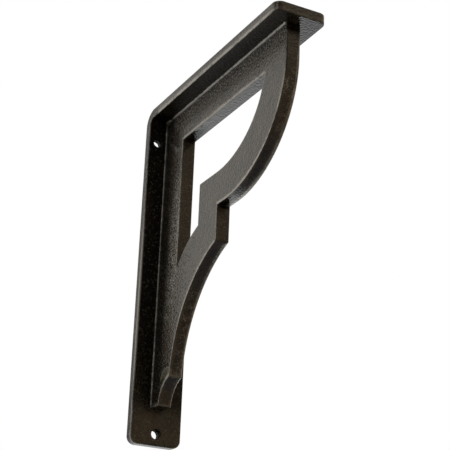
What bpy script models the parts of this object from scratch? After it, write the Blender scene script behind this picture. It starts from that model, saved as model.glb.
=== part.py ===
"""Steel shelf bracket: a flat bar bent to an L, with a shaped plate standing on its inner faces as a brace.

Metres, +Z up. The wall is the plane y = 0, the bracket stands out from it towards -Y, and X runs
across its width. The origin is the middle of the face that lies on the wall. The side profiles are
written as (reach, drop) pairs: reach is the distance out from the wall, and drop is the distance
down from the bracket's top face.
"""

import math

import bmesh
import bpy

# The bent bar
WIDTH = 0.0508
HEIGHT = 0.3365
DEPTH = 0.2604
BAR = 0.0095
BEND_OUTER = 0.0165
END_CORNER = 0.0075

# The brace plate, and the gap that keeps its mesh off the bar's
PLATE = 0.0133
GAP = 0.0003
RIB_FRONT = 0.0488
TOP_RIB_LOW = 0.0426

# The brace's front edge: a round belly, a short upright step, then a hollow sweep down to a toe
BELLY_CENTRE = (0.1407, 0.0392)
BELLY_RADII = (0.1057, 0.0995)
STEP_REACH = 0.1277
STEP_FOOT = 0.1732
SWEEP_RADIUS = 0.1244
CUSP = (0.0450, 0.2792)
COVE_RADIUS = 0.0272
TOE_REACH = 0.0248
TOE_DROP = 0.3026

# The window inside the brace
WINDOW_BELLY_CENTRE = (0.1242, 0.0346)
WINDOW_BELLY_RADII = (0.0844, 0.0711)
WINDOW_STEP_REACH = 0.0902
WINDOW_STEP_FOOT = 0.1467
WINDOW_SWEEP_RADIUS = 0.0870
WINDOW_FOOT = 0.1776

# The screw holes in the wall leg, as (across, drop)
HOLE_RADIUS = 0.0046
LOWER_HOLE = (0.0, 0.3256)
UPPER_HOLE = (0.0158, 0.0333)

# Softened edges, and how finely the round stretches are cut
EDGE = 0.0012
BEND_STEPS = 8
CORNER_STEPS = 6
ARC_STEP = math.radians(4.0)
FLAT_ANGLE = math.radians(0.5)

TOP = HEIGHT / 2
BEND_INNER = BEND_OUTER - BAR


def clear_scene():
    for obj in list(bpy.data.objects):
        bpy.data.objects.remove(obj, do_unlink=True)


def place(across, reach, drop):
    """A point of the bracket, from its place across the width, its reach and its drop."""
    return (across, -reach, TOP - drop)


def ellipse(centre, radii, start, end):
    """Points of an ellipse from angle start to end, where 0 points away from the wall and 90 degrees down."""
    count = max(2, math.ceil(abs(end - start) / ARC_STEP))
    angles = [start + (end - start) * i / count for i in range(count + 1)]
    return [
        (centre[0] + radii[0] * math.cos(a), centre[1] + radii[1] * math.sin(a))
        for a in angles
    ]


def arc_between(first, last, radius):
    """Points of a circular arc from first to last. Its centre lies left of the way from first to last
    in (reach, drop), and a negative radius puts it on the right."""
    half = (last[0] - first[0]) / 2, (last[1] - first[1]) / 2
    chord = math.hypot(*half)
    rise = math.sqrt(radius**2 - chord**2) / chord * math.copysign(1, radius)
    centre = (
        first[0] + half[0] + rise * half[1],
        first[1] + half[1] - rise * half[0],
    )
    start = math.atan2(first[1] - centre[1], first[0] - centre[0])
    end = math.atan2(last[1] - centre[1], last[0] - centre[0])
    turn = (end - start + math.pi) % (2 * math.pi) - math.pi
    return ellipse(centre, (abs(radius), abs(radius)), start, start + turn)


def brace_outline():
    """The brace's outer profile, from the toe round the front edge, along the top and into the bend."""
    back = BAR + GAP
    belly_low = BELLY_CENTRE[1] + BELLY_RADII[1]
    belly_front = BELLY_CENTRE[0] + BELLY_RADII[0]
    corner = BEND_INNER - GAP
    points = [(back, TOE_DROP)]
    points += arc_between((TOE_REACH, TOE_DROP), CUSP, -COVE_RADIUS)
    points += arc_between(CUSP, (STEP_REACH, STEP_FOOT), -SWEEP_RADIUS)[1:]
    points.append((STEP_REACH, belly_low))
    points += ellipse(BELLY_CENTRE, BELLY_RADII, math.pi / 2, 0)
    points.append((belly_front, back))
    points += ellipse((BEND_OUTER, BEND_OUTER), (corner, corner), 1.5 * math.pi, math.pi)
    return points


def window_outline():
    """The opening in the brace: square at the ribs' corner, round under the belly, and stepped like it."""
    rise = math.asin((TOP_RIB_LOW - WINDOW_BELLY_CENTRE[1]) / WINDOW_BELLY_RADII[1])
    belly_low = WINDOW_BELLY_CENTRE[1] + WINDOW_BELLY_RADII[1]
    step_foot = (WINDOW_STEP_REACH, WINDOW_STEP_FOOT)
    points = [(RIB_FRONT, TOP_RIB_LOW)]
    points += ellipse(WINDOW_BELLY_CENTRE, WINDOW_BELLY_RADII, rise, math.pi / 2)
    points.append((WINDOW_STEP_REACH, belly_low))
    points += arc_between(step_foot, (RIB_FRONT, WINDOW_FOOT), WINDOW_SWEEP_RADIUS)
    return points


def bar_stations():
    """Cross-sections of the bent bar from its foot to its front end, as (outer point, inner point, half width)."""
    stations = []
    for i in range(CORNER_STEPS + 1):
        angle = math.pi / 2 * i / CORNER_STEPS
        inset = END_CORNER * (1 - math.sin(angle))
        along = END_CORNER * (1 - math.cos(angle))
        stations.append(((0, HEIGHT - along), (BAR, HEIGHT - along), WIDTH / 2 - inset))
    for i in range(BEND_STEPS + 1):
        angle = math.pi * (1 + i / BEND_STEPS / 2)
        outer = ring_point((BEND_OUTER, BEND_OUTER), BEND_OUTER, angle)
        inner = ring_point((BEND_OUTER, BEND_OUTER), BEND_INNER, angle)
        stations.append((outer, inner, WIDTH / 2))
    for i in range(CORNER_STEPS + 1):
        angle = math.pi / 2 * (1 - i / CORNER_STEPS)
        inset = END_CORNER * (1 - math.sin(angle))
        along = END_CORNER * (1 - math.cos(angle))
        stations.append(((DEPTH - along, 0), (DEPTH - along, BAR), WIDTH / 2 - inset))
    return stations


def ring_point(centre, radius, angle):
    return centre[0] + radius * math.cos(angle), centre[1] + radius * math.sin(angle)


def soften(obj):
    """Rounds the edges that carry a bevel weight."""
    bevel = obj.modifiers.new("softened edges", "BEVEL")
    bevel.limit_method = "WEIGHT"
    bevel.width = EDGE
    bevel.segments = 2


def new_mesh():
    """An empty mesh whose edges can carry a bevel weight."""
    mesh = bmesh.new()
    mesh.edges.layers.float.new("bevel_weight_edge")
    return mesh


def weight_edges(mesh, edges):
    """Gives these edges a bevel weight."""
    weight = mesh.edges.layers.float["bevel_weight_edge"]
    for edge in edges:
        edge[weight] = 1.0


def new_object(name, mesh, material):
    data = bpy.data.meshes.new(name)
    bmesh.ops.recalc_face_normals(mesh, faces=mesh.faces)
    mesh.to_mesh(data)
    mesh.free()
    data.materials.append(material)
    obj = bpy.data.objects.new(name, data)
    bpy.context.scene.collection.objects.link(obj)
    return obj


def new_material(name, colour, roughness, metallic):
    material = bpy.data.materials.new(name)
    material.use_nodes = True
    shader = material.node_tree.nodes["Principled BSDF"]
    shader.inputs["Base Color"].default_value = (*colour, 1)
    shader.inputs["Roughness"].default_value = roughness
    shader.inputs["Metallic"].default_value = metallic
    return material


def make_flange():
    """The bar: cross-sections joined in a row, with rounded corners in plan at both ends."""
    mesh = new_mesh()
    rings = []
    for outer, inner, half in bar_stations():
        corners = [(-half, *outer), (half, *outer), (half, *inner), (-half, *inner)]
        rings.append([mesh.verts.new(place(*corner)) for corner in corners])
    for one, two in zip(rings, rings[1:]):
        for i in range(4):
            j = (i + 1) % 4
            mesh.faces.new((one[i], one[j], two[j], two[i]))
    mesh.faces.new(rings[0])
    mesh.faces.new(rings[-1])
    rims = [(one[i], two[i]) for one, two in zip(rings, rings[1:]) for i in range(4)]
    for end in (rings[0], rings[-1]):
        rims += [(end[0], end[1]), (end[2], end[3])]
    weight_edges(mesh, [mesh.edges.get(pair) for pair in rims])
    mesh.normal_update()
    bmesh.ops.dissolve_limit(
        mesh, angle_limit=FLAT_ANGLE, verts=mesh.verts, edges=mesh.edges
    )
    flange = new_object(
        "mounting_flange",
        mesh,
        new_material("flange bronze paint", (0.020, 0.015, 0.012), 0.40, 0.0),
    )
    soften(flange)
    for name, across, drop in (
        ("lower hole cutter", *LOWER_HOLE),
        ("upper left hole cutter", -UPPER_HOLE[0], UPPER_HOLE[1]),
        ("upper right hole cutter", *UPPER_HOLE),
    ):
        drill(flange, name, across, drop)
    return flange


def drill(obj, name, across, drop):
    """Cuts a screw hole through the wall leg."""
    mesh = bmesh.new()
    bmesh.ops.create_cone(
        mesh,
        cap_ends=True,
        segments=24,
        radius1=HOLE_RADIUS,
        radius2=HOLE_RADIUS,
        depth=3 * BAR,
    )
    cutter = new_object(name, mesh, obj.data.materials[0])
    cutter.rotation_euler = (math.pi / 2, 0, 0)
    cutter.location = place(across, BAR / 2, drop)
    cutter.hide_render = True
    cutter.display_type = "WIRE"
    boolean = obj.modifiers.new(name, "BOOLEAN")
    boolean.operation = "DIFFERENCE"
    boolean.solver = "EXACT"
    boolean.object = cutter


def make_brace():
    """The brace: one plate cut to the outer profile and the window, standing in the middle of the bar."""
    mesh = new_mesh()
    edges = []
    for outline in (brace_outline(), window_outline()):
        loop = [mesh.verts.new(place(-PLATE / 2, *point)) for point in outline]
        edges += [mesh.edges.new((a, b)) for a, b in zip(loop, loop[1:] + loop[:1])]
    bmesh.ops.triangle_fill(mesh, edges=edges, use_beauty=True)
    side = bmesh.ops.extrude_face_region(mesh, geom=mesh.faces[:])
    moved = [part for part in side["geom"] if isinstance(part, bmesh.types.BMVert)]
    bmesh.ops.translate(mesh, verts=moved, vec=(PLATE, 0, 0))
    mesh.normal_update()
    rims = [edge for edge in mesh.edges if edge.calc_face_angle() > math.radians(80)]
    upright = [edge for edge in rims if abs(edge.verts[0].co.x - edge.verts[1].co.x) < GAP]
    weight_edges(mesh, upright)
    bmesh.ops.dissolve_limit(
        mesh, angle_limit=FLAT_ANGLE, verts=mesh.verts, edges=mesh.edges
    )
    brace = new_object(
        "brace_plate",
        mesh,
        new_material("brace bronze paint", (0.022, 0.017, 0.013), 0.38, 0.0),
    )
    soften(brace)
    return brace


def main():
    clear_scene()
    make_flange()
    make_brace()


main()
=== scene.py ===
"""Looks of the steel shelf bracket: bent bar, shaped brace plate, weld beads and a dark bronze finish.

Metres, +Z up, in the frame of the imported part. The wall is the plane y = 0 and the bracket stands out
from it towards -Y. Side profiles are (reach, drop) pairs: reach is the distance out from the wall and
drop is the distance down from the top face. Surfaces are grids worked out as whole arrays.
"""

import math

import bpy
import numpy as np
from mathutils import Matrix


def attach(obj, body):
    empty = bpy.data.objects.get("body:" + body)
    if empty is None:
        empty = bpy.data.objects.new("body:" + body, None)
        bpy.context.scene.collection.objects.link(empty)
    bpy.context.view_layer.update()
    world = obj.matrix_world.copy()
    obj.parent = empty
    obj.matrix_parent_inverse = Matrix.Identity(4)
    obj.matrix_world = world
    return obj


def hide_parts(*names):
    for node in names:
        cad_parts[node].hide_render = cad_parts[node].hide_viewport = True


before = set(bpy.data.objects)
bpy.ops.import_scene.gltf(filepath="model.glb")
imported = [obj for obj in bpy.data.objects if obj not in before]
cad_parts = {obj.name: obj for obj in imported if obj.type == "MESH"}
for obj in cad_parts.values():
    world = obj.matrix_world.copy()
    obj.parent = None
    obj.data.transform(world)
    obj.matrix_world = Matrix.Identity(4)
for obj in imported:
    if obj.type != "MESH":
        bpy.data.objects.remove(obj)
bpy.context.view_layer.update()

# The bent bar, as in the part's source
WIDTH = 0.0508
HEIGHT = 0.3365
DEPTH = 0.2604
BAR = 0.0095
BEND_OUTER = 0.0165
END_CORNER = 0.0075
TOP = HEIGHT / 2
BEND_INNER = BEND_OUTER - BAR

# The brace plate, as in the part's source
PLATE = 0.0133
GAP = 0.0003
RIB_FRONT = 0.0488
TOP_RIB_LOW = 0.0426
BELLY_CENTRE = (0.1407, 0.0392)
BELLY_RADII = (0.1057, 0.0995)
STEP_REACH = 0.1277
STEP_FOOT = 0.1732
SWEEP_RADIUS = 0.1244
CUSP = (0.0450, 0.2792)
COVE_RADIUS = 0.0272
TOE_REACH = 0.0248
TOE_DROP = 0.3026
WINDOW_BELLY_CENTRE = (0.1242, 0.0346)
WINDOW_BELLY_RADII = (0.0844, 0.0711)
WINDOW_STEP_REACH = 0.0902
WINDOW_STEP_FOOT = 0.1467
WINDOW_SWEEP_RADIUS = 0.0870
WINDOW_FOOT = 0.1776

# The screw holes in the wall leg, as (across, drop)
HOLE_RADIUS = 0.0046
HOLES = {"lower": (0.0, 0.3256), "upper_left": (-0.0158, 0.0333), "upper_right": (0.0158, 0.0333)}

# How far the edges are rounded over, and how finely the surfaces are cut
BAR_EDGE = 0.0011
PLATE_EDGE = 0.0006
BOLD_CORNER = 0.0016
SHARP_CORNER = 0.0006
RIM_STEPS = 6
FILLET_STEPS = 9
BEND_STEPS = 24
CORNER_STEPS = 14

# How rubbed the bar's inner and outer edges are, how far below the inner one that has faded out, and the
# distances from the front end between which the wear falls to a small share
BAR_RUB = 1.5
BAR_BACK_RUB = 0.2
BAR_FADE = 0.0026
FRONT_FADE = (0.0075, 0.0020)
FRONT_SHARE = 0.15

# The brace's faces are rubbed over a narrow band inside their edges, by a share of the edge's wear, and
# the rub has faded out a little farther in
RUB_BAND = 0.0009
BAND_SHARE = 0.5
RUB_FADE = 0.0034

# How worn the brace's edges are at the start and end of each matched stretch, from the cusp up the
# sweep, step, belly, nose, top, bend and upright to the toe, with the corners between them
OUTER_WEAR = [
    (2.6, 2.0), (0.7, 0.4), (0.4, 0.5), (1.0, 3.0), (4.5, 0.3),
    (0.3, 0.2), (0.2, 0.2), (0.2, 0.2), (0.2, 0.2), (0.2, 4.6),
]
WINDOW_WEAR = [
    (0.6, 0.2), (0.1, 0.1), (0.1, 0.1), (0.1, 0.1), (0.1, 0.8),
    (1.8, 1.8), (2.4, 3.6), (2.8, 0.9), (0.7, 0.9), (1.1, 1.0),
]

# How far the outer rim's right-hand edge is rolled over at the start and end of the same stretches, and
# how rubbed it is for each metre of roll beyond the plain rounding
RIGHT_EDGE = [
    (0.0016, 0.0044), (0.0030, 0.0007), (0.0007, 0.0007), (0.0007, 0.0024), (0.0046, 0.0028),
    (0.0022, 0.0006), (0.0006, 0.0006), (0.0006, 0.0006), (0.0006, 0.0006), (0.0006, 0.0014),
]
RIGHT_RUB = 400.0

# The weld along the joint: its size on either leg, how deep it is sunk in the metal, how much its size
# swells and over what lengths, how hollow its face is, and how finely it is cut along and across
WELD_WALL_LEG = 0.0009
WELD_TOP_LEG = 0.0015
WELD_SUNK = 0.0003
WELD_SWELL = 0.42
WELD_WAVES = (0.004, 0.009, 0.021, 0.05)
WELD_POWER = 1.6
WELD_STEPS = 420
WELD_FACE = 9

# How worn the weld is at the toe, this far up from it, where the bend starts, and from the bend's end on
WELD_WEAR = (1.1, 0.9, 0.7, 2.0)
WELD_WEAR_STEP = 0.12

# The weld's thin spot and its lump: distance past the start of the bend, width, how much they take off
# or add, and how worn the lump is
WELD_PINCH = (0.0160, 0.0022, 0.93)
WELD_LUMP = (0.0072, 0.0040, 1.2)
LUMP_WEAR = 6.0

# Where painted shade darkens the corner by the wall leg and under the top leg, as the places where that
# is full and where it has ended: reach from the wall, drop from the top, and drop towards the foot. Then
# how dark that makes the bar and the brace, and what share of it the brace has under the top leg.
SHADE_REACH = (0.022, 0.033)
SHADE_DROP = (0.011, 0.026)
SHADE_AND_GRAIN_FOOT = (0.292, 0.314)
FLANGE_SHADE, BRACE_SHADE, TOP_SHARE = 0.8, 0.75, 0.25

# Where the brace's grain is coarse, in the same terms, and how much that adds to its relief
COARSE_REACH = (0.022, 0.037)
COARSE_DROP = (0.014, 0.032)
COARSE_BUMP = 0.45

# Where across the width marks on the brace's left face are full and where they have ended, and where
# its grit is pale, in the terms of the places of painted shade
LEFT_FACE = (-0.0063, -0.0055)
PALE_SPOTS = [((-0.0066, 0.0425, 0.1500), (0.003, 0.017, 0.110), 1.0)]

# Places of painted shade, as ellipsoids: (across, reach, drop) of the middle, radii and strength. The first
# on the brace is the painted shadow under the top leg's front end.
BRACE_SHADE_SPOTS = [
    ((0.0, 0.2470, 0.0135), (0.020, 0.005, 0.0078), 0.85),
    ((0.0, 0.1290, 0.1390), (0.009, 0.017, 0.004), 0.9),
    ((0.0, 0.0560, 0.0426), (0.009, 0.036, 0.003), 0.85),
    ((0.0020, 0.0560, 0.2350), (0.0080, 0.0550, 0.0600), 0.32),
    ((0.0020, 0.0480, 0.2670), (0.0080, 0.0120, 0.0200), 0.50),
    ((-0.0066, 0.2462, 0.0480), (0.0016, 0.0036, 0.0460), 0.80),
]
# On the bar, painted shade on patches of its left side, its top leg's side and its bottom end.
FLANGE_SHADE_SPOTS = [
    ((-0.0254, 0.0020, 0.3200), (0.005, 0.009, 0.070), 1.0),
    ((-0.0254, 0.0000, 0.2500), (0.005, 0.0075, 0.055), 1.0),
    ((-0.0254, 0.0000, 0.0950), (0.005, 0.0075, 0.040), 0.9),
    ((-0.0254, 0.0085, 0.0650), (0.005, 0.006, 0.055), 0.9),
    ((-0.0254, 0.1300, 0.0000), (0.005, 0.180, 0.006), 0.7),
    ((0.0, 0.0040, 0.3365), (0.040, 0.010, 0.003), 0.8),
]

# The worn inner edge on the upright leg's left, in the same terms
FLANGE_WORN = [((-0.0254, 0.0088, 0.2000), (0.0020, 0.0034, 0.125), 0.75)]

# Scuffed places with fine pale lines, in the same terms
BRACE_SCUFFS = [
    ((-0.0066, 0.0320, 0.2050), (0.003, 0.008, 0.060), 0.6),
    ((-0.0066, 0.0410, 0.1500), (0.003, 0.012, 0.085), 0.9),
    ((0.0, 0.2410, 0.0700), (0.009, 0.012, 0.016), 0.9),
    ((0.0, 0.0720, 0.2250), (0.010, 0.024, 0.040), 0.7),
    ((0.0030, 0.0600, 0.2400), (0.0090, 0.060, 0.080), 0.50),
    ((0.0030, 0.2350, 0.0900), (0.0090, 0.040, 0.070), 0.45),
]

# Worn lines across the brace's front, at the cusp and the toe's foot
WORN_LINES = [
    ((0.0, 0.0448, 0.2790), (0.030, 0.0022, 0.0022), 0.45),
    ((0.0, 0.0246, 0.3024), (0.030, 0.0022, 0.0022), 0.35),
]

# An olive patch on the brace's left face, beside the cove, with a paler rim: middle and radii
PATCH_MIDDLE = (0.0395, 0.2800)
PATCH_RADII = (0.0110, 0.0098)

# The colours that lie over the mottled bronze
WORN_COLOUR = (0.38, 0.358, 0.31)
GRAIN_COLOUR = (0.15, 0.13, 0.10)
FLECK_COLOUR = (0.11, 0.10, 0.07)
SCUFF_COLOUR = (0.40, 0.39, 0.36)
SPECK_COLOUR = (0.18, 0.16, 0.13)
PATCH_COLOUR = (0.105, 0.10, 0.055)
# The walls of the screw holes, painted dark as shade, with paler spots
BORE_SHADE_DARK, BORE_SHADE_PALE = (0.020, 0.019, 0.014), (0.13, 0.13, 0.10)
# The black of the painted shade
SHADE_COLOUR = (0.0, 0.0, 0.0)

# How strongly the finish mirrors, what share of that the painted shade takes away, how metallic and how
# much rougher it is where worn through, and how deep its relief is
SHINE = 0.5
SHADE_DULLS = 0.84
WORN_METAL = 0.45
WORN_ROUGHENS = 0.2
RELIEF = 0.0016

# The light around the bracket: the white behind it, high and low; the room in front of it, low and
# high, straight below and on the left; and the light overhead
WHITE_HIGH, WHITE_LOW = (0.885, 0.86, 0.81), (1.42, 1.44, 1.46)
ROOM_LOW, ROOM_HIGH = (0.31, 0.245, 0.17), (0.60, 0.52, 0.40)
ROOM_UNDER, ROOM_LEFT = (0.17, 0.175, 0.185), (0.03, 0.025, 0.02)
OVERHEAD = (1.6, 1.6, 1.6)
SEEN_WHITE = (1.0, 1.0, 1.0)

# The studio's floor, well below the bracket: height, radius, and where it starts and ends fading out
FLOOR = -0.62
FLOOR_RADIUS = 5.0
FLOOR_FADE = (1.5, 4.8)
FLOOR_COLOUR = (0.82, 0.82, 0.81, 1)

# The camera: focal length and sensor in millimetres, how far the picture is shifted down in it, where
# it stands, and the directions of the picture's right and up
LENS = 102.2241
SENSOR = 36.0
SHIFT = -20 / 450
CAMERA_PLACE = (-0.48708, -1.07410, -0.40863)
CAMERA_RIGHT = (0.881088, -0.471565, 0.036194)
CAMERA_UP = (-0.209496, -0.320525, 0.923783)


# Plane curves, as arrays of (reach, drop)


def line(first, last, count=2):
    """Evenly spaced points of the straight line from first to last."""
    share = np.linspace(0, 1, count)[:, None]
    return np.array(first) * (1 - share) + np.array(last) * share


def ellipse(centre, radii, start, end, count=160):
    """centre + (a cos t, b sin t) as t goes from start to end. 0 is away from the wall and 90 degrees
    is down."""
    angle = np.linspace(start, end, count)
    return np.array(centre) + np.stack([radii[0] * np.cos(angle), radii[1] * np.sin(angle)], axis=1)


def arc(first, last, radius, count=160):
    """The circular arc from first to last. Its centre is on the left of the way there, or on the right
    for a negative radius, at the distance from the chord that Pythagoras gives."""
    first, last = np.array(first), np.array(last)
    half = (last - first) / 2
    chord = np.hypot(*half)
    rise = math.sqrt(radius**2 - chord**2) / chord * math.copysign(1, radius)
    centre = first + half + rise * np.array([half[1], -half[0]])
    start = math.atan2(*(first - centre)[::-1])
    turn = (math.atan2(*(last - centre)[::-1]) - start + math.pi) % (2 * math.pi) - math.pi
    return ellipse(centre, (abs(radius), abs(radius)), start, start + turn, count)


def joined(*runs):
    """Runs that meet end to end, as one."""
    return np.concatenate([runs[0]] + [run[1:] for run in runs[1:]])


def lengths_along(run):
    """Each point's distance from the start, measured along the run."""
    return np.concatenate([[0.0], np.cumsum(np.hypot(*np.diff(run, axis=0).T))])


def at_lengths(run, wanted):
    """The points of a run at the wanted distances along it."""
    along = lengths_along(run)
    return np.stack([np.interp(wanted, along, run[:, 0]), np.interp(wanted, along, run[:, 1])], axis=1)


def heading(run, last):
    """The unit direction in which a run starts, or ends if last is true."""
    step = run[-1] - run[-2] if last else run[1] - run[0]
    return step / np.hypot(*step)


def corner_cut(before, after, radius):
    """How much of each run a fillet of this radius takes: radius times the tangent of half the turn."""
    cosine = np.clip(np.dot(heading(before, True), heading(after, False)), -1, 1)
    return radius * math.tan(math.acos(cosine) / 2)


def fillet(before, after, radius, count):
    """The arc that rounds the corner between two runs: it starts at the cut and turns about its centre."""
    into, out = heading(before, True), heading(after, False)
    cross = into[0] * out[1] - into[1] * out[0]
    turn = math.acos(np.clip(np.dot(into, out), -1, 1)) * (1 if cross > 0 else -1)
    start = before[-1] - into * corner_cut(before, after, radius)
    centre = start + radius * math.copysign(1, turn) * np.array([-into[1], into[0]])
    angle = np.linspace(0, turn, count)
    cosine, sine = np.cos(angle), np.sin(angle)
    arm = start - centre
    return centre + np.stack([arm[0] * cosine - arm[1] * sine, arm[0] * sine + arm[1] * cosine], axis=1)


def trimmed(run, from_start, from_end, count):
    """A run without its first and last bits, as evenly spaced points."""
    return at_lengths(run, np.linspace(from_start, lengths_along(run)[-1] - from_end, count))


def brace_runs():
    """The brace's outer profile and its window, as {name: run} for either. The names go from the cusp up
    the sweep, round the belly, back along the top and down the upright to the toe."""
    back = BAR + GAP
    belly_low = BELLY_CENTRE[1] + BELLY_RADII[1]
    belly_front = BELLY_CENTRE[0] + BELLY_RADII[0]
    window_low = WINDOW_BELLY_CENTRE[1] + WINDOW_BELLY_RADII[1]
    rise = math.asin((TOP_RIB_LOW - WINDOW_BELLY_CENTRE[1]) / WINDOW_BELLY_RADII[1])
    window_front = WINDOW_BELLY_CENTRE[0] + WINDOW_BELLY_RADII[0] * math.cos(rise)
    bend = BEND_INNER - GAP
    foot, window_corner = (RIB_FRONT, WINDOW_FOOT), (RIB_FRONT, TOP_RIB_LOW)
    outer = {
        "sweep": arc(CUSP, (STEP_REACH, STEP_FOOT), -SWEEP_RADIUS),
        "step": line((STEP_REACH, STEP_FOOT), (STEP_REACH, belly_low)),
        "belly": joined(
            line((STEP_REACH, belly_low), (BELLY_CENTRE[0], belly_low), 12),
            ellipse(BELLY_CENTRE, BELLY_RADII, math.pi / 2, 0),
        ),
        "nose": line((belly_front, BELLY_CENTRE[1]), (belly_front, back)),
        "top": line((belly_front, back), (BEND_OUTER, back)),
        "bend": ellipse((BEND_OUTER, BEND_OUTER), (bend, bend), 1.5 * math.pi, math.pi, 12),
        "upright": line((back, BEND_OUTER), (back, WINDOW_FOOT)),
        "heel": line((back, WINDOW_FOOT), (back, TOE_DROP)),
        "toe": line((back, TOE_DROP), (TOE_REACH, TOE_DROP)),
        "cove": arc((TOE_REACH, TOE_DROP), CUSP, -COVE_RADIUS),
    }
    window = {
        "sweep": arc(foot, (WINDOW_STEP_REACH, WINDOW_STEP_FOOT), -WINDOW_SWEEP_RADIUS),
        "step": line((WINDOW_STEP_REACH, WINDOW_STEP_FOOT), (WINDOW_STEP_REACH, window_low)),
        "belly": joined(
            line((WINDOW_STEP_REACH, window_low), (WINDOW_BELLY_CENTRE[0], window_low), 24),
            ellipse(WINDOW_BELLY_CENTRE, WINDOW_BELLY_RADII, math.pi / 2, rise),
        ),
        "top": line((window_front, TOP_RIB_LOW), window_corner),
        "upright": line(window_corner, foot),
    }
    return outer, window


def brace_paths():
    """Both outlines with rounded corners, point for point: where one has a corner that the other lacks,
    the other's nearest small fillet is spread over it. Then how worn the edge is at each point of both,
    and how far the outer one's right-hand edge is rolled over."""
    outer, window = brace_runs()
    bold, sharp = BOLD_CORNER, SHARP_CORNER

    def between(runs, before, name, after, radii, count):
        run = runs[name]
        start, end = corner_cut(runs[before], run, radii[0]), corner_cut(run, runs[after], radii[1])
        return trimmed(run, start, end, count)

    def corner(runs, before, after, radius, count=FILLET_STEPS):
        return fillet(runs[before], runs[after], radius, count)

    nose = joined(
        between(outer, "belly", "nose", "top", (0, bold), 10),
        corner(outer, "nose", "top", bold),
    )
    toe = joined(
        between(outer, "upright", "heel", "toe", (0, bold), 24),
        corner(outer, "heel", "toe", bold),
        between(outer, "heel", "toe", "cove", (bold, bold), 6),
        corner(outer, "toe", "cove", bold),
        between(outer, "toe", "cove", "sweep", (bold, bold), 24),
        corner(outer, "cove", "sweep", bold),
    )
    outside = [
        between(outer, "cove", "sweep", "step", (bold, bold), 70),
        corner(outer, "sweep", "step", bold),
        between(outer, "sweep", "step", "belly", (bold, sharp), 14),
        corner(outer, "step", "belly", sharp),
        between(outer, "step", "belly", "nose", (sharp, 0), 110),
        nose,
        between(outer, "nose", "top", "bend", (bold, 0), 60),
        outer["bend"],
        between(outer, "bend", "upright", "heel", (0, 0), 50),
        toe,
    ]
    inside = [
        between(window, "upright", "sweep", "step", (sharp, sharp), 70),
        corner(window, "sweep", "step", sharp),
        between(window, "sweep", "step", "belly", (sharp, bold), 14),
        corner(window, "step", "belly", bold),
        between(window, "step", "belly", "top", (bold, sharp), 110),
        corner(window, "belly", "top", sharp, len(nose)),
        between(window, "belly", "top", "upright", (sharp, sharp), 60),
        corner(window, "top", "upright", sharp, len(outer["bend"])),
        between(window, "top", "upright", "sweep", (sharp, sharp), 50),
        corner(window, "upright", "sweep", sharp, len(toe)),
    ]
    # Each stretch ends where the next begins, so its last point is left to the next one.
    paths = [np.concatenate([stretch[:-1] for stretch in side]) for side in (outside, inside)]
    sizes = [len(stretch) - 1 for stretch in outside]
    along = [
        np.concatenate([np.linspace(*ends, size) for ends, size in zip(values, sizes)])
        for values in (OUTER_WEAR, WINDOW_WEAR, RIGHT_EDGE)
    ]
    return (*paths, *along)


def side_normals(path):
    """Unit normals of a closed path, a quarter turn on from the direction between each point's neighbours."""
    step = np.roll(path, -1, axis=0) - np.roll(path, 1, axis=0)
    step /= np.hypot(*step.T)[:, None]
    return np.stack([-step[:, 1], step[:, 0]], axis=1)


# Meshes


def place(across, plane):
    """Points of the bracket, from their places across the width and in the (reach, drop) plane."""
    return np.stack([across, -plane[..., 0], TOP - plane[..., 1]], axis=-1)


def direct(across, plane):
    """Directions, turned as place() turns points."""
    return np.stack([across, -plane[..., 0], -plane[..., 1]], axis=-1)


def grid_faces(index, close_rows=False, close_columns=False):
    """Four-sided faces between neighbouring rows and columns of an array of vertex numbers."""
    if close_rows:
        index = np.concatenate([index, index[:1]])
    if close_columns:
        index = np.concatenate([index, index[:, :1]], axis=1)
    return np.stack([index[:-1, :-1], index[1:, :-1], index[1:, 1:], index[:-1, 1:]], axis=-1).reshape(-1, 4)


def signed_volume(points, quads):
    """A sixth of the sum of corner triple products, which is positive where the faces point outwards."""
    a, b, c, d = (points[quads[:, i]] for i in range(4))
    return (np.einsum("ij,ij->i", a, np.cross(b, c)) + np.einsum("ij,ij->i", a, np.cross(c, d))).sum() / 6


def closed_with(points, quads, lid):
    """Faces and the lid that closes them, turned the way that gives the larger volume, as the two do
    when they face the same side."""
    either = [np.concatenate([quads, faces]) for faces in (lid, lid[:, ::-1])]
    return max(either, key=lambda shell: abs(signed_volume(points, shell)))


def add_object(name, data):
    """A new object in the scene."""
    obj = bpy.data.objects.new(name, data)
    bpy.context.scene.collection.objects.link(obj)
    return obj


def make_mesh(name, points, quads, normals=None, rub=None):
    """A mesh object from arrays. rub says how much each point is exposed to rubbing, from 0 for none."""
    if signed_volume(points, quads) < 0:
        quads = quads[:, ::-1]
    mesh = bpy.data.meshes.new(name)
    mesh.vertices.add(len(points))
    mesh.vertices.foreach_set("co", points.astype(np.float32).ravel())
    mesh.loops.add(quads.size)
    mesh.loops.foreach_set("vertex_index", quads.astype(np.int32).ravel())
    mesh.polygons.add(len(quads))
    mesh.polygons.foreach_set("loop_start", np.arange(0, quads.size, 4, dtype=np.int32))
    mesh.polygons.foreach_set("use_smooth", np.ones(len(quads), bool))
    mesh.update(calc_edges=True)
    mesh.validate()
    layer = mesh.attributes.new("rub", "FLOAT", "POINT")
    layer.data.foreach_set("value", (np.zeros(len(points)) if rub is None else rub).astype(np.float32))
    if normals is not None:
        mesh.normals_split_custom_set_from_vertices(normals.tolist())
    return add_object(name, mesh)


def exposure(turn):
    """How rubbed a rounded edge is at an angle across it, cos^3(t - 0.45): most near one face, where it
    is 0, and least at the other."""
    return math.cos(turn - 0.45) ** 3


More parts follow.
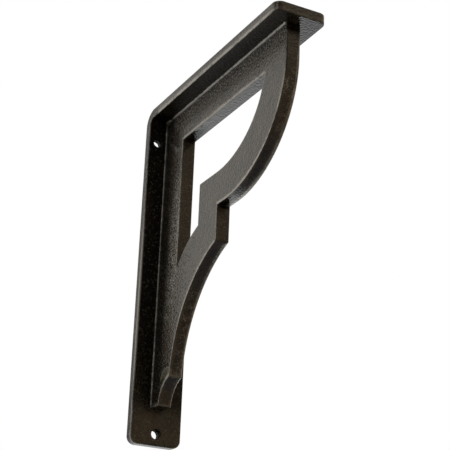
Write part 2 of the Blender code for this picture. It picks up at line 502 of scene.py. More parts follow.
def brace():
    """The brace as one closed grid. Each matched pair of outline points gives one section: across the
    left face, over the outer rim, back along the right face and over the window's rim. A rounded edge is
    the inset path plus (edge sin t outwards, roll (1 - cos t) across), and its normal is
    (roll sin t outwards, edge cos t across)."""
    outer, window, outer_wear, window_wear, right_roll = brace_paths()
    out, hollow = side_normals(outer), -side_normals(window)
    outer_in, window_in = outer - PLATE_EDGE * out, window - PLATE_EDGE * hollow
    half = PLATE / 2
    quarter = np.linspace(0, math.pi / 2, RIM_STEPS + 1)
    plain = np.full(len(outer), PLATE_EDGE)
    columns = []

    def add(across, plane, across_normal, plane_normal, rub):
        flat = np.zeros(len(plane))
        columns.append((place(flat + across, plane), direct(flat + across_normal, plane_normal), flat + rub))

    def edge(side, inset, normal, wear, roll, turns):
        for t in turns:
            sideways, forward = PLATE_EDGE * math.cos(t), roll * math.sin(t)
            size = np.hypot(sideways, forward)
            # The roll's extra wear stops where the flat of the rim begins.
            rolled = RIGHT_RUB * (roll - PLATE_EDGE) * (t < quarter[-1])
            add(
                side * (half - roll * (1 - math.cos(t))),
                inset + PLATE_EDGE * math.sin(t) * normal,
                side * sideways / size,
                (forward / size)[:, None] * normal,
                np.maximum(exposure(t) * wear, rolled),
            )

    def rim(inset, normal, wear, roll):
        edge(-1, inset, normal, wear, plain, quarter)
        for share in (0.25, 0.5, 0.75):
            flat = (PLATE_EDGE - half) * (1 - share) + (half - roll) * share
            add(flat, inset + PLATE_EDGE * normal, 0.0, normal, 0.0)
        edge(1, inset, normal, wear, roll, quarter[::-1])

    level = np.zeros_like(outer)
    band_out, band_in = outer_in - RUB_BAND * out, window_in - RUB_BAND * hollow
    fade = np.clip(RUB_FADE / np.hypot(*(window_in - outer_in).T), 0, 0.15)[:, None]
    shares = [fade, 0.2, 0.4, 0.6, 0.8, 1 - fade]
    rim(outer_in, out, outer_wear, right_roll)
    add(half, band_out, 1.0, level, BAND_SHARE * outer_wear)
    for share in shares:
        add(half, outer_in * (1 - share) + window_in * share, 1.0, level, 0.0)
    add(half, band_in, 1.0, level, BAND_SHARE * window_wear)
    first_window_column = len(columns)
    rim(window_in, hollow, window_wear, plain)
    # The window's rim runs from the right face to the left one.
    columns[first_window_column:] = columns[first_window_column:][::-1]
    add(-half, band_in, -1.0, level, BAND_SHARE * window_wear)
    for share in shares:
        add(-half, window_in * (1 - share) + outer_in * share, -1.0, level, 0.0)
    add(-half, band_out, -1.0, level, BAND_SHARE * outer_wear)
    points, normals, rub = (np.stack(part, axis=1) for part in zip(*columns))
    index = np.arange(rub.size).reshape(rub.shape)
    quads = grid_faces(index, close_rows=True, close_columns=True)
    return make_mesh("brace_forged_plate", points.reshape(-1, 3), quads, normals.reshape(-1, 3), rub.ravel())


def bar_line():
    """How far along the bar's middle line the bend starts, it ends, and the line ends."""
    middle = BEND_OUTER - BAR / 2
    bend_start = HEIGHT - BEND_OUTER
    bend_end = bend_start + math.pi / 2 * middle
    return bend_start, bend_end, bend_end + DEPTH - BEND_OUTER


def bent(across, along, depth):
    """Where a point of the straight bar goes when it is bent, and the plane directions there of along
    and depth. along runs up the wall leg from its foot and out over the top leg; depth is 0 on the outer
    face and BAR on the inner one. In the bend it is centre - (R - depth) * (cos t, sin t)."""
    start, end, _ = bar_line()
    turn = np.clip((along - start) / (end - start), 0, 1) * math.pi / 2
    spoke = np.stack([-np.cos(turn), -np.sin(turn)], axis=-1)
    forward = np.stack([np.sin(turn), -np.cos(turn)], axis=-1)
    beyond = np.where(along < start, along - start, np.where(along > end, along - end, 0.0))
    centre = np.array([BEND_OUTER, BEND_OUTER])
    plane = centre + spoke * (BEND_OUTER - depth)[..., None] + forward * beyond[..., None]
    return place(across, plane), forward, -spoke


def bar_rows():
    """The rows of the bar's broad faces: how far along each is, its half width, and the sine of its
    outline's heading, with rounded corners in plan at both ends."""
    start, end, length = bar_line()
    corner = END_CORNER - BAR_EDGE
    angle = np.linspace(math.pi / 2, 0, CORNER_STEPS + 1)
    along = BAR_EDGE + corner * (1 - np.sin(angle))
    half = WIDTH / 2 - BAR_EDGE - corner * (1 - np.cos(angle))
    full = WIDTH / 2 - BAR_EDGE
    wall = np.linspace(BAR_EDGE + corner, start, 60)[1:]
    bend = np.linspace(start, end, BEND_STEPS + 1)[1:]
    top = np.linspace(end, length - BAR_EDGE - corner, 50)[1:]
    middle = np.concatenate([wall, bend, top[:-1]])
    rows = np.concatenate([along, middle, (length - along)[::-1]])
    halves = np.concatenate([half, np.full(len(middle), full), half[::-1]])
    sine = np.concatenate([-np.sin(angle), np.zeros(len(middle)), np.sin(angle)[::-1]])
    return rows, halves, sine


def bar():
    """The bent bar: a grid for each broad face, and between them a rim that follows the outline, which
    is the inset outline plus edge * (sin t outwards, 1 - cos t in depth) and flat in the middle."""
    rows, halves, sine = bar_rows()
    spread = np.linspace(-1, 1, 17)
    across = halves[:, None] * spread[None, :]
    along = np.repeat(rows[:, None], len(spread), axis=1)
    points, normals, rub = [], [], []
    for depth, facing in ((BAR, 1.0), (0.0, -1.0)):
        where, _, inward = bent(across, along, np.full(across.shape, depth))
        points.append(where.reshape(-1, 3))
        normals.append(direct(np.zeros(across.shape), inward * facing).reshape(-1, 3))
        rub.append(np.zeros(across.size))
    size = across.size
    inner = np.arange(size).reshape(across.shape)
    outer = inner + size

    def loop_of(grid):
        return np.concatenate([grid[:, 0], grid[-1, 1:-1], grid[::-1, -1], grid[0, -2:0:-1]])

    cosine = np.sqrt(1 - sine**2)
    ends = len(spread) - 2
    normal_across = np.concatenate([-cosine, np.zeros(ends), cosine[::-1], np.zeros(ends)])
    normal_along = np.concatenate([sine, np.ones(ends), sine[::-1], -np.ones(ends)])
    loop_across, loop_along = loop_of(across), loop_of(along)
    quarter = np.linspace(0, math.pi / 2, RIM_STEPS + 1)
    kept = np.interp(loop_along, bar_line()[2] - np.array(FRONT_FADE), [1.0, FRONT_SHARE])
    # The rim's section, as (share of the edge outwards, depth, normal's part in depth, rub).
    profile = [
        (math.sin(t), BAR - BAR_EDGE * (1 - math.cos(t)), math.cos(t), BAR_RUB * exposure(math.pi / 2 - t))
        for t in quarter[1:]
    ]
    profile[-1] = (*profile[-1][:3], BAR_RUB)
    profile += [(1.0, depth, 0.0, 0.0) for depth in (BAR - BAR_EDGE - BAR_FADE, BAR / 3)]
    profile += [
        (math.sin(t), BAR_EDGE * (1 - math.cos(t)), -math.cos(t), BAR_BACK_RUB * exposure(t))
        for t in quarter[:0:-1]
    ]
    rings = [loop_of(inner)]
    made = 2 * size
    for push, depth, lift, rubbed in profile:
        where, forward, inward = bent(
            loop_across + BAR_EDGE * push * normal_across,
            loop_along + BAR_EDGE * push * normal_along,
            np.full(loop_across.shape, depth),
        )
        points.append(where)
        plane = forward * (push * normal_along)[:, None] + inward * lift
        normals.append(direct(push * normal_across, plane))
        rub.append(rubbed * kept)
        rings.append(np.arange(made, made + loop_across.size))
        made += loop_across.size
    rings.append(loop_of(outer))
    points = np.concatenate(points)
    faces = np.concatenate([grid_faces(inner), grid_faces(outer)[:, ::-1]])
    quads = closed_with(points, faces, grid_faces(np.stack(rings), close_columns=True))
    return make_mesh("flange_bent_bar", points, quads, np.concatenate(normals), np.concatenate(rub))


def hole_cutter(name, across, drop):
    """A cylinder on the hole's axis, longer than the bar is thick, with a fan of quads at either end."""
    sides = 64
    angle = np.linspace(0, 2 * math.pi, sides, endpoint=False)
    ring = HOLE_RADIUS * np.stack([np.cos(angle), np.sin(angle)], axis=1)
    reaches = (-BAR, 2 * BAR)
    walls = [
        place(across + ring[:, 0], np.stack([np.full(sides, reach), drop + ring[:, 1]], axis=1))
        for reach in reaches
    ]
    middles = place(np.full(2, across), np.array([[reach, drop] for reach in reaches]))
    index = np.arange(2 * sides).reshape(2, sides)
    caps = [
        np.stack([np.full(sides // 2, 2 * sides + end), row[::2], row[1::2], np.roll(row, -2)[::2]], axis=1)
        for end, row in enumerate(index)
    ]
    quads = np.concatenate([grid_faces(index, close_columns=True)[:, ::-1], caps[0], caps[1][:, ::-1]])
    return make_mesh(name, np.concatenate([*walls, middles]), quads)


def drill(obj):
    """Cuts the screw holes, and keeps the result as the object's own mesh."""
    cutters = [hole_cutter("cutter_" + name, *spot) for name, spot in HOLES.items()]
    for cutter in cutters:
        cut = obj.modifiers.new(cutter.name, "BOOLEAN")
        cut.operation, cut.solver, cut.object = "DIFFERENCE", "EXACT", cutter
    finish_mesh(obj)
    for cutter in cutters:
        bpy.data.objects.remove(cutter, do_unlink=True)


def finish_mesh(obj):
    """Puts the result of an object's modifiers into its mesh."""
    graph = bpy.context.evaluated_depsgraph_get()
    done = bpy.data.meshes.new_from_object(obj.evaluated_get(graph))
    obj.modifiers.clear()
    obj.data = done


def weld_line(count):
    """The joint in the (reach, drop) plane from the toe up to the nose: points, and the directions away
    from the bar. Also each point's distance along it."""
    wall = line((BAR, TOE_DROP), (BAR, BEND_OUTER), 40)
    bend = ellipse((BEND_OUTER, BEND_OUTER), (BEND_INNER, BEND_INNER), math.pi, 1.5 * math.pi, 24)
    top = line((BEND_OUTER, BAR), (BELLY_CENTRE[0] + BELLY_RADII[0] - 0.0004, BAR), 40)
    run = joined(wall, bend, top)
    total = lengths_along(run)[-1]
    along = np.linspace(0, total, count)
    path = at_lengths(run, along)
    step = np.gradient(path, axis=0)
    step /= np.hypot(*step.T)[:, None]
    return path, np.stack([-step[:, 1], step[:, 0]], axis=1), along


def weld(side, seed):
    """A weld bead in the corner between bar and brace: at each step along the joint its face is
    (a cos^p t over the bar, a sin^p t up the brace) with p the power, and the rest of it is sunk in the
    metal. The leg a swells by a sum of sine waves."""
    path, away, along = weld_line(WELD_STEPS)
    rng = np.random.default_rng(seed)
    wall_length = TOE_DROP - BEND_OUTER
    on_top = np.clip((along - wall_length) / BEND_OUTER, 0, 1)
    swell = np.zeros(WELD_STEPS)
    for wave in WELD_WAVES:
        phase, size = rng.uniform(0, 2 * math.pi), rng.uniform(0.5, 1.0)
        swell += size * np.sin(2 * math.pi * along / wave + phase)
    swell /= len(WELD_WAVES)
    pinch, lump = (
        np.exp(-(((along - wall_length - middle) / width) ** 2))
        for middle, width, _ in (WELD_PINCH, WELD_LUMP)
    )
    leg = (WELD_WALL_LEG + (WELD_TOP_LEG - WELD_WALL_LEG) * on_top) * (1 + WELD_SWELL * swell)
    leg *= (1 - WELD_PINCH[2] * pinch) * (1 + WELD_LUMP[2] * lump)
    ends = np.clip(np.minimum(along, along[-1] - along) / 0.002, 0, 1)
    leg *= np.sqrt(np.clip(ends, 0.04, 1))
    angle = np.linspace(0, math.pi / 2, WELD_FACE)
    sunk = np.full((WELD_STEPS, 1), -WELD_SUNK)
    over = np.concatenate([leg[:, None] * np.cos(angle) ** WELD_POWER, sunk], axis=1)
    up = np.concatenate([leg[:, None] * np.sin(angle) ** WELD_POWER, sunk], axis=1)
    up[:, 0] -= WELD_SUNK
    over[:, WELD_FACE - 1] -= WELD_SUNK
    plane = path[:, None, :] + away[:, None, :] * up[..., None]
    points = place(side * (PLATE / 2 + over), plane).reshape(-1, 3)
    index = np.arange(over.size).reshape(over.shape)
    # Each end is a fan of quads about the sunk point.
    caps = np.array(
        [[row[WELD_FACE], *row[i : i + 3]] for row in index[[0, -1]] for i in range(0, WELD_FACE - 1, 2)]
    )
    caps[len(caps) // 2 :] = caps[len(caps) // 2 :, ::-1]
    quads = closed_with(points, grid_faces(index, close_columns=True), caps)
    worn = np.interp(along, [0, WELD_WEAR_STEP, wall_length, wall_length + BEND_OUTER], WELD_WEAR)
    worn = np.maximum(worn, LUMP_WEAR * lump) * (1 - 0.9 * pinch)
    name = "weld_bead_left" if side < 0 else "weld_bead_right"
    return make_mesh(name, points, quads, rub=np.repeat(worn, over.shape[1]))


# Materials


def node_group(name, inputs, outputs):
    """An empty shader node group with these (name, socket type, default) inputs and (name, type) outputs."""
    tree = bpy.data.node_groups.new(name, "ShaderNodeTree")
    for label, kind, value in inputs:
        socket = tree.interface.new_socket(name=label, in_out="INPUT", socket_type=kind)
        if value is not None:
            socket.default_value = value
    for label, kind in outputs:
        tree.interface.new_socket(name=label, in_out="OUTPUT", socket_type=kind)
    return tree, tree.nodes.new("NodeGroupInput"), tree.nodes.new("NodeGroupOutput")


def noise(tree, vector, scale, detail=2.0, roughness=0.5):
    """A noise texture's value."""
    node = tree.nodes.new("ShaderNodeTexNoise")
    node.inputs["Detail"].default_value = detail
    node.inputs["Roughness"].default_value = roughness
    tree.links.new(vector, node.inputs["Vector"])
    feed(tree, scale, node.inputs["Scale"])
    return node.outputs["Fac"]


def feed(tree, value, socket):
    """Links a socket to an input, or sets a plain value on it."""
    if isinstance(value, bpy.types.NodeSocket):
        tree.links.new(value, socket)
    else:
        socket.default_value = value


def maths(tree, operation, first, second=0.0, clamp=False):
    """One Math node."""
    node = tree.nodes.new("ShaderNodeMath")
    node.operation, node.use_clamp = operation, clamp
    feed(tree, first, node.inputs[0])
    feed(tree, second, node.inputs[1])
    return node.outputs[0]


def times(tree, *values):
    """The product of some values."""
    product = values[0]
    for value in values[1:]:
        product = maths(tree, "MULTIPLY", product, value)
    return product


def without(tree, mask):
    """What a mask leaves: 1 less the mask."""
    return maths(tree, "SUBTRACT", 1.0, mask)


def vector_maths(tree, operation, first, second=None):
    """One Vector Math node."""
    node = tree.nodes.new("ShaderNodeVectorMath")
    node.operation = operation
    feed(tree, first, node.inputs[0])
    if second is not None:
        feed(tree, second, node.inputs[1])
    return node


def axes(tree, vector):
    """A vector's parts, as outputs X, Y and Z."""
    node = tree.nodes.new("ShaderNodeSeparateXYZ")
    tree.links.new(vector, node.inputs[0])
    return node.outputs


def smooth_range(tree, value, low, high, to_low=0.0, to_high=1.0):
    """A value's smooth rise from to_low at low to to_high at high."""
    node = tree.nodes.new("ShaderNodeMapRange")
    node.interpolation_type = "SMOOTHSTEP"
    feed(tree, value, node.inputs["Value"])
    for socket, number in (("From Min", low), ("From Max", high), ("To Min", to_low), ("To Max", to_high)):
        feed(tree, number, node.inputs[socket])
    return node.outputs["Result"]


def blend(tree, share, first, second):
    """A colour between two."""
    node = tree.nodes.new("ShaderNodeMix")
    node.data_type = "RGBA"
    feed(tree, share, node.inputs["Factor"])
    for value, socket in ((first, node.inputs[6]), (second, node.inputs[7])):
        feed(tree, (*value, 1.0) if isinstance(value, tuple) else value, socket)
    return node.outputs[2]


def mottle_group():
    """Bronze mottling: dark ground with brown and olive clouds, a fine grain, and a height for its bumps."""
    tree, start, end = node_group(
        "bronze mottle",
        [
            ("Vector", "NodeSocketVector", None),
            ("Cloud Scale", "NodeSocketFloat", 55.0),
            ("Grain Scale", "NodeSocketFloat", 420.0),
            ("Ground", "NodeSocketColor", (0.034, 0.027, 0.019, 1)),
            ("Brown", "NodeSocketColor", (0.085, 0.056, 0.034, 1)),
            ("Olive", "NodeSocketColor", (0.062, 0.056, 0.036, 1)),
            ("Roughness", "NodeSocketFloat", 0.36),
        ],
        [("Colour", "NodeSocketColor"), ("Roughness", "NodeSocketFloat"), ("Height", "NodeSocketFloat")],
    )
    where, roughness = start.outputs["Vector"], start.outputs["Roughness"]
    cloud_scale, grain_scale = start.outputs["Cloud Scale"], start.outputs["Grain Scale"]
    cloud = smooth_range(tree, noise(tree, where, cloud_scale, 3.0, 0.6), 0.38, 0.66)
    tint = smooth_range(tree, noise(tree, where, times(tree, cloud_scale, 2.3), 2.0, 0.6), 0.45, 0.70)
    grain = noise(tree, where, grain_scale, 3.0, 0.62)
    fine = noise(tree, where, times(tree, grain_scale, 3.1), 2.0, 0.6)
    dents = noise(tree, where, times(tree, grain_scale, 1.2), 0.6, 0.4)
    spread = smooth_range(tree, grain, 0.36, 0.64)
    base = blend(tree, times(tree, cloud, spread), start.outputs["Ground"], start.outputs["Brown"])
    tinted = blend(tree, times(tree, tint, 0.7), base, start.outputs["Olive"])
    salt = noise(tree, where, times(tree, grain_scale, 1.5), 2.0, 0.5)
    pale = smooth_range(tree, salt, 0.56, 0.68, 0.0, 0.5)
    tree.links.new(blend(tree, pale, tinted, GRAIN_COLOUR), end.inputs["Colour"])
    swing = times(tree, maths(tree, "SUBTRACT", grain, 0.5), 0.20)
    tree.links.new(maths(tree, "ADD", roughness, swing), end.inputs["Roughness"])
    tree.links.new(maths(tree, "ADD", dents, times(tree, fine, 0.10)), end.inputs["Height"])
    return tree


def rub_group():
    """Rubbed edges: a mask that is strongest on the exposed edges and broken up by noise, with a few
    pale specks."""
    tree, start, end = node_group(
        "rubbed edges",
        [
            ("Vector", "NodeSocketVector", None),
            ("Exposed", "NodeSocketFloat", 0.0),
            ("Amount", "NodeSocketFloat", 0.6),
            ("Speck Scale", "NodeSocketFloat", 160.0),
        ],
        [("Rubbed", "NodeSocketFloat"), ("Specks", "NodeSocketFloat")],
    )
    where = start.outputs["Vector"]
    broken = smooth_range(tree, noise(tree, where, 240.0, 3.0, 0.65), 0.30, 0.72, 0.25, 1.0)
    long = smooth_range(tree, noise(tree, where, 38.0, 2.0, 0.5), 0.30, 0.65, 0.45, 1.0)
    mask = times(tree, start.outputs["Exposed"], broken, long)
    tree.links.new(maths(tree, "MULTIPLY", mask, start.outputs["Amount"], clamp=True), end.inputs["Rubbed"])
    cells = tree.nodes.new("ShaderNodeTexVoronoi")
    tree.links.new(where, cells.inputs["Vector"])
    tree.links.new(start.outputs["Speck Scale"], cells.inputs["Scale"])
    near = smooth_range(tree, cells.outputs["Distance"], 0.05, 0.11, 1.0, 0.0)
    chosen = maths(tree, "GREATER_THAN", noise(tree, where, 90.0, 1.0, 0.5), 0.66)
    tree.links.new(times(tree, near, chosen), end.inputs["Specks"])
    return tree


def hole_mask(tree, where):
    """1 on the walls of the screw holes and 0 elsewhere: the least distance to a hole's axis, cut off
    just outside the bore."""
    level = vector_maths(tree, "MULTIPLY", where, (1, 0, 1)).outputs[0]
    least = None
    for across, drop in HOLES.values():
        far = vector_maths(tree, "DISTANCE", level, (across, 0, TOP - drop)).outputs["Value"]
        least = far if least is None else maths(tree, "MINIMUM", least, far)
    return smooth_range(tree, least, HOLE_RADIUS + 0.0001, HOLE_RADIUS + 0.0005, 1.0, 0.0)


def off_middle(tree, where, middle, radii):
    """How far a point is from an ellipsoid's middle, where its surface is at 1."""
    across, reach, drop = middle
    arm = vector_maths(tree, "SUBTRACT", where, (across, -reach, TOP - drop))
    scaled = vector_maths(tree, "DIVIDE", arm.outputs[0], radii)
    return vector_maths(tree, "LENGTH", scaled.outputs[0]).outputs["Value"]


def spots_mask(tree, where, spots):
    """The strongest of some soft ellipsoids: full at 0.4 of their radii and none at their surface."""
    strongest = None
    for middle, radii, strength in spots:
        spot = smooth_range(tree, off_middle(tree, where, middle, radii), 0.4, 1.0, strength, 0.0)
        strongest = spot if strongest is None else maths(tree, "MAXIMUM", strongest, spot)
    return strongest


def patch_masks(tree, where):
    """The olive patch on the brace's left face: a mask of its inside, and one of its rim. Both leave
    out its lower half."""
    reach, drop = PATCH_MIDDLE
    far = off_middle(tree, where, (-PLATE / 2, reach, drop), (0.003, *PATCH_RADII))
    inside = smooth_range(tree, far, 0.85, 1.0, 1.0, 0.0)
    off_rim = maths(tree, "ABSOLUTE", maths(tree, "SUBTRACT", far, 1.0))
    rim = smooth_range(tree, off_rim, 0.03, 0.13, 1.0, 0.0)
    upper = smooth_range(tree, axes(tree, where)["Z"], TOP - drop - 0.002, TOP - drop + 0.003)
    return times(tree, inside, upper), times(tree, rim, upper)


def scuff_lines(tree, where):
    """Fine squiggles: the places where a noise passes through its middle value, here and there."""
    level = maths(tree, "ABSOLUTE", maths(tree, "SUBTRACT", noise(tree, where, 460.0, 1.5, 0.6), 0.5))
    squiggles = smooth_range(tree, level, 0.015, 0.055, 1.0, 0.0)
    return times(tree, squiggles, smooth_range(tree, noise(tree, where, 140.0, 2.0, 0.5), 0.48, 0.6))


def corner_mask(tree, where, reaches, drops, top_share):
    """1 in the corner beside the wall leg, and top_share under the top leg, fading to 0 at the given
    (full, none) distances out from the wall and below the top face, and above the foot."""
    part = axes(tree, where)
    beside_wall = smooth_range(tree, part["Y"], -reaches[1], -reaches[0])
    above_foot = smooth_range(tree, part["Z"], TOP - SHADE_AND_GRAIN_FOOT[1], TOP - SHADE_AND_GRAIN_FOOT[0])
    mask = times(tree, beside_wall, above_foot)
    if top_share:
        below_top = smooth_range(tree, part["Z"], TOP - drops[1], TOP - drops[0], 0, top_share)
        mask = maths(tree, "MAXIMUM", mask, below_top)
    return mask


def blacken(tree, where, coat, dark, shade_spots):
    """Paints shade: darkens and dulls a coat by a mask and at the spots of painted shade, both broken up by
    noise. It gives back how dark the coat is made."""
    dark = maths(tree, "MAXIMUM", dark, spots_mask(tree, where, shade_spots))
    broken = smooth_range(tree, noise(tree, where, 260.0, 3.0, 0.6), 0.35, 0.62, 0.80, 1.0)
    dark = times(tree, dark, broken)
    coat["colour"] = blend(tree, dark, coat["colour"], SHADE_COLOUR)
    coat["shine"] = times(tree, coat["shine"], without(tree, times(tree, dark, SHADE_DULLS)))
    return dark


def wear_through(tree, where, coat, marks=()):
    """Shows the worn metal of a coat where its worn share says so, and at the marks."""
    if marks:
        coat["worn"] = maths(tree, "MAXIMUM", coat["worn"], spots_mask(tree, where, marks))
    coat["colour"] = blend(tree, coat["worn"], coat["colour"], WORN_COLOUR)


def finish_flange(tree, where, coat):
    """The bar's marks: painted shade, pale flecks, its worn edges, and the walls of the holes painted dark as
    shade with pale spots.
    """
    # Painted shade in the corner beside the wall leg, and at the bar's painted-shade spots.
    corner = times(tree, corner_mask(tree, where, SHADE_REACH, SHADE_DROP, 0.0), FLANGE_SHADE)
    dark = blacken(tree, where, coat, corner, FLANGE_SHADE_SPOTS)
    flecks = smooth_range(tree, noise(tree, where, 480.0, 2.0, 0.65), 0.57, 0.68, 0.0, 0.85)
    coat["colour"] = blend(tree, flecks, coat["colour"], FLECK_COLOUR)
    coat["worn"] = times(tree, coat["worn"], without(tree, dark))
    wear_through(tree, where, coat, FLANGE_WORN)
    # The holes' walls are painted dark as shade, with paler spots, and lose their shine.
    inside = hole_mask(tree, where)
    spotted = smooth_range(tree, noise(tree, where, 500.0, 1.0, 0.5), 0.46, 0.62)
    coat["colour"] = blend(tree, inside, coat["colour"], blend(tree, spotted, BORE_SHADE_DARK, BORE_SHADE_PALE))
    coat["shine"] = times(tree, coat["shine"], without(tree, inside))


def finish_brace(tree, where, coat):
    """The brace's marks: coarse grain and grit on its left face, painted shade, an olive patch, its worn
    edges, scuffs and specks."""
    part = axes(tree, where)
    on_left = smooth_range(tree, part["X"], LEFT_FACE[1], LEFT_FACE[0])
    below_top = smooth_range(tree, part["Z"], TOP - COARSE_DROP[1], TOP - COARSE_DROP[0])
    coarse = times(tree, corner_mask(tree, where, COARSE_REACH, COARSE_DROP, 1.0), on_left)
    coat["bump"] = maths(tree, "ADD", coat["bump"], times(tree, coarse, COARSE_BUMP))
    grit = noise(tree, where, 600.0, 1.5, 0.6)
    gritty = times(tree, maths(tree, "MAXIMUM", below_top, spots_mask(tree, where, PALE_SPOTS)), on_left)
    pale = times(tree, smooth_range(tree, grit, 0.51, 0.61, 0.0, 0.75), gritty)
    coat["colour"] = blend(tree, pale, coat["colour"], WORN_COLOUR)
    dull = times(tree, smooth_range(tree, grit, 0.50, 0.38, 0.0, 0.8), below_top, on_left)
    coat["shine"] = maths(tree, "SUBTRACT", coat["shine"], times(tree, dull, SHINE))

    # Painted shade in the corner beside the wall leg, a share of it under the top leg, and at the brace's
    # painted-shade spots, on its faces only.
    on_faces = smooth_range(tree, maths(tree, "ABSOLUTE", part["X"]), -LEFT_FACE[1], -LEFT_FACE[0])
    corner = corner_mask(tree, where, SHADE_REACH, SHADE_DROP, TOP_SHARE)
    corner = times(tree, corner, BRACE_SHADE, on_faces)
    blacken(tree, where, coat, corner, BRACE_SHADE_SPOTS)

    inside, rim = patch_masks(tree, where)
    coat["colour"] = blend(tree, times(tree, inside, 0.9), coat["colour"], PATCH_COLOUR)
    coat["worn"] = maths(tree, "MAXIMUM", coat["worn"], times(tree, rim, 0.45))
    wear_through(tree, where, coat, WORN_LINES)

    salt = smooth_range(tree, noise(tree, where, 900.0, 1.0, 0.5), 0.60, 0.70, 0.0, 0.8)
    lines = maths(tree, "MAXIMUM", scuff_lines(tree, where), salt)
    lines = times(tree, lines, spots_mask(tree, where, BRACE_SCUFFS))
    coat["colour"] = blend(tree, lines, coat["colour"], SCUFF_COLOUR)
    coat["colour"] = blend(tree, coat["specks"], coat["colour"], SPECK_COLOUR)


def bronze(name, mottle, rubbed, finish, amount, roughness, bump):
    """Dark bronze coating over steel: mottled, and rubbed lighter along its edges by the amount."""
    material = bpy.data.materials.new(name)
    material.use_nodes = True
    tree = material.node_tree
    shader = tree.nodes["Principled BSDF"]
    shader.inputs["IOR"].default_value = 1.5
    where = tree.nodes.new("ShaderNodeTexCoord").outputs["Object"]
    exposed = tree.nodes.new("ShaderNodeAttribute")
    exposed.attribute_name = "rub"
    body, edges = tree.nodes.new("ShaderNodeGroup"), tree.nodes.new("ShaderNodeGroup")
    body.node_tree, edges.node_tree = mottle, rubbed
    tree.links.new(where, body.inputs["Vector"])
    body.inputs["Roughness"].default_value = roughness
    tree.links.new(where, edges.inputs["Vector"])
    tree.links.new(exposed.outputs["Fac"], edges.inputs["Exposed"])
    edges.inputs["Amount"].default_value = amount
    coat = {
        "colour": body.outputs["Colour"],
        "worn": edges.outputs["Rubbed"],
        "specks": edges.outputs["Specks"],
        "shine": SHINE,
        "bump": bump,
    }
    finish(tree, where, coat)
    worn = coat["worn"]
    rough = maths(tree, "ADD", body.outputs["Roughness"], times(tree, worn, WORN_ROUGHENS))
    relief = tree.nodes.new("ShaderNodeBump")
    relief.inputs["Distance"].default_value = RELIEF
    tree.links.new(body.outputs["Height"], relief.inputs["Height"])
    for value, socket in (
        (coat["colour"], shader.inputs["Base Color"]),
        (times(tree, worn, WORN_METAL), shader.inputs["Metallic"]),
        (rough, shader.inputs["Roughness"]),
        (coat["shine"], shader.inputs["Specular IOR Level"]),
        (coat["bump"], relief.inputs["Strength"]),
        (relief.outputs["Normal"], shader.inputs["Normal"]),
    ):
        feed(tree, value, socket)
    return material


def dress(obj, material):
    """Gives an object its one material."""
    obj.data.materials.clear()
    obj.data.materials.append(material)


# The studio


def studio_world():
    """Soft surroundings: white behind the bracket, dark and warm in front of it and straight below, with
    a light overhead. The camera itself sees plain white."""
    world = bpy.data.worlds.new("studio")
    bpy.context.scene.world = world
    world.use_nodes = True
    tree = world.node_tree
    tree.nodes.clear()
    way = axes(tree, tree.nodes.new("ShaderNodeTexCoord").outputs["Generated"])

    def towards(axis, none, full):
        """A mask that rises from 0 to 1 as a direction's part along an axis goes from none to full."""
        return smooth_range(tree, way[axis], none, full)

    white = times(tree, towards("Y", -0.05, 0.45), towards("Z", -0.72, -0.46))
    under = times(tree, towards("Y", -0.62, -0.22), towards("Z", -0.20, -0.60))
    back = blend(tree, towards("Z", 0.10, -0.25), WHITE_HIGH, WHITE_LOW)
    room = blend(tree, towards("Z", 0.35, 0.65), ROOM_LOW, ROOM_HIGH)
    room = blend(tree, under, room, ROOM_UNDER)
    room = blend(tree, towards("X", -0.15, 0.30), ROOM_LEFT, room)
    wide = blend(tree, white, room, back)
    wide = blend(tree, towards("Z", 0.60, 0.95), wide, OVERHEAD)
    path = tree.nodes.new("ShaderNodeLightPath")
    background = tree.nodes.new("ShaderNodeBackground")
    tree.links.new(blend(tree, path.outputs["Is Camera Ray"], wide, SEEN_WHITE), background.inputs["Color"])
    output = tree.nodes.new("ShaderNodeOutputWorld")
    tree.links.new(background.outputs[0], output.inputs["Surface"])


def pose(right, up, back, centre):
    """The matrix that turns an object's axes to right, up and back, and puts it at centre."""
    matrix = np.eye(4)
    matrix[:3] = np.stack([right, up, back, centre], axis=1)
    return Matrix(matrix.tolist())


def softbox(name, direction, distance, side, radiance):
    """A square area light that faces the bracket's middle. Its power is radiance * pi * area."""
    light = bpy.data.lights.new(name, "AREA")
    light.shape, light.size = "SQUARE", side
    light.energy = radiance * math.pi * side**2
    obj = add_object(name, light)
    towards = np.array(direction) / np.linalg.norm(direction)
    right = np.cross([0, 0, 1.0], towards)
    right /= np.linalg.norm(right)
    middle = np.array([0, -0.1, 0])
    obj.matrix_world = pose(right, np.cross(towards, right), towards, middle + towards * distance)
    obj.visible_camera = False


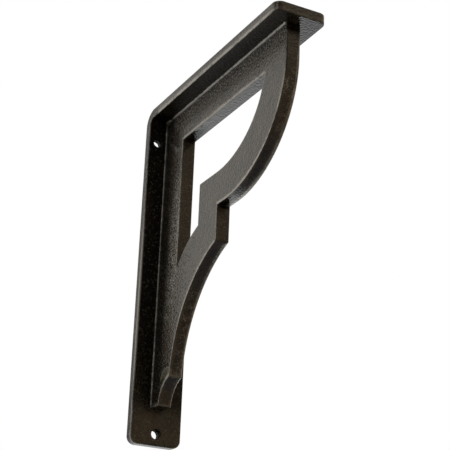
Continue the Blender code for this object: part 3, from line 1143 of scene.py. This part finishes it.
def floor():
    """A pale floor well below the bracket, as a disc whose edge fades into the white beyond. Only the
    camera sees it, so that the surroundings alone are mirrored in the finish."""
    rings, spokes = 24, 64
    radius = FLOOR_RADIUS * np.linspace(0, 1, rings + 1)[1:] ** 1.5
    angle = np.linspace(0, 2 * math.pi, spokes, endpoint=False)
    x, y = radius[:, None] * np.cos(angle), radius[:, None] * np.sin(angle)
    points = np.stack([x, y, np.full(x.shape, FLOOR)], axis=-1).reshape(-1, 3)
    index = np.arange(len(points)).reshape(rings, spokes)
    quads = grid_faces(index, close_columns=True)
    mesh = bpy.data.meshes.new("floor")
    mesh.from_pydata(points.tolist(), [], [index[0].tolist(), *quads[:, ::-1].tolist()])
    mesh.update()
    obj = add_object("floor", mesh)
    material = bpy.data.materials.new("pale floor")
    material.use_nodes = True
    tree = material.node_tree
    shader = tree.nodes["Principled BSDF"]
    shader.inputs["Base Color"].default_value = FLOOR_COLOUR
    shader.inputs["Roughness"].default_value = 0.9
    where = tree.nodes.new("ShaderNodeTexCoord").outputs["Object"]
    far = vector_maths(tree, "LENGTH", where).outputs["Value"]
    tree.links.new(smooth_range(tree, far, *FLOOR_FADE, 1.0, 0.0), shader.inputs["Alpha"])
    dress(obj, material)
    obj.visible_glossy = False
    obj.visible_diffuse = False


def camera():
    """The photograph's camera: below the bracket and to its left, looking up."""
    data = bpy.data.cameras.new("camera")
    data.lens, data.sensor_width, data.shift_y = LENS, SENSOR, SHIFT
    data.clip_start, data.clip_end = 0.05, 50
    obj = add_object("camera", data)
    obj.matrix_world = pose(CAMERA_RIGHT, CAMERA_UP, np.cross(CAMERA_RIGHT, CAMERA_UP), CAMERA_PLACE)
    bpy.context.scene.camera = obj


def main():
    scene = bpy.context.scene
    scene.view_settings.view_transform = "Standard"
    camera()
    studio_world()
    floor()
    softbox("left softbox", direction=(-0.79, -0.45, 0.42), distance=2.2, side=0.8, radiance=2.5)

    groups = mottle_group(), rub_group()
    flange = bar()
    drill(flange)
    weighted = flange.modifiers.new("even shading", "WEIGHTED_NORMAL")
    weighted.keep_sharp = True
    finish_mesh(flange)
    dress(flange, bronze("flange bronze", *groups, finish_flange, amount=1.5, roughness=0.20, bump=0.24))
    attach(flange, "root")
    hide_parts("mounting_flange")
    plate = brace()
    dress(plate, bronze("brace bronze", *groups, finish_brace, amount=1.5, roughness=0.15, bump=0.25))
    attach(plate, "root")
    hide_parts("brace_plate")
    seam = bronze("weld bronze", *groups, wear_through, amount=1.3, roughness=0.30, bump=0.3)
    for side, seed in ((-1, 3), (1, 8)):
        bead = weld(side, seed)
        dress(bead, seam)
        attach(bead, "root")


main()
